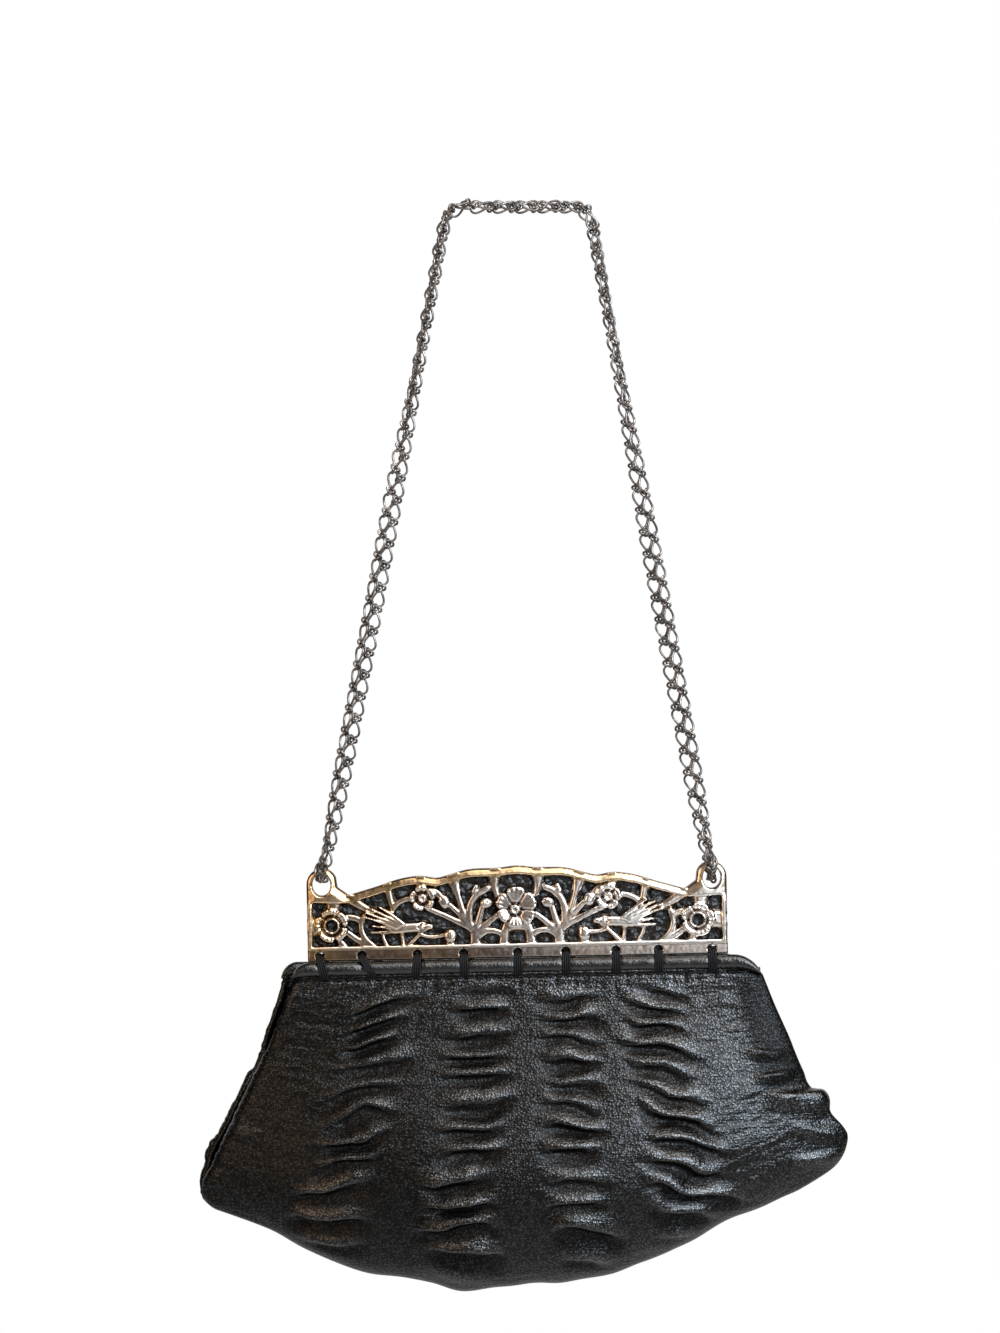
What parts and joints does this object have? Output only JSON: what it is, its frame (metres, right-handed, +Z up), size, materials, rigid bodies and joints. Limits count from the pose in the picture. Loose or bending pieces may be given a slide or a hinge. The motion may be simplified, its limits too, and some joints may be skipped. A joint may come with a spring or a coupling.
{
  "type": "evening clutch",
  "caption": "Fan-shaped evening clutch of ruched black leather, laced to a pierced cast metal frame with birds and blossoms, hung by a doubled chain.",
  "frame": {"origin": "the point where the middle of the chain hangs on a hook, on the underside of its top stretch", "axes": "+Z up, +X to the right as seen from the front, +Y to the back; the front faces -Y"},
  "size_m": [0.2332, 0.0472, 0.39],
  "materials": {
    "cast_metal": "polished casting, silver tone",
    "chain_metal": "polished, darkened",
    "leather": "fine grain, semi-gloss black",
    "thread": "matte black"
  },
  "bodies": {
    "root": {"frame_front": "cast_metal", "backing_front": "leather", "panel_front": "leather", "binding_front": "leather", "chain_front": "chain_metal", "frame_back": "cast_metal", "backing_back": "leather", "panel_back": "leather", "binding_back": "leather", "chain_back": "chain_metal", "hinge_pin_left": "cast_metal", "hinge_pin_right": "cast_metal", "lace_front_1": "thread", "lace_front_2": "thread", "lace_front_3": "thread", "lace_front_4": "thread", "lace_front_5": "thread", "lace_front_6": "thread", "lace_front_7": "thread", "lace_front_8": "thread", "lace_front_9": "thread", "lace_back_1": "thread", "lace_back_2": "thread", "lace_back_3": "thread", "lace_back_4": "thread", "lace_back_5": "thread", "lace_back_6": "thread", "lace_back_7": "thread", "lace_back_8": "thread", "lace_back_9": "thread"}
  },
  "joints": []
}
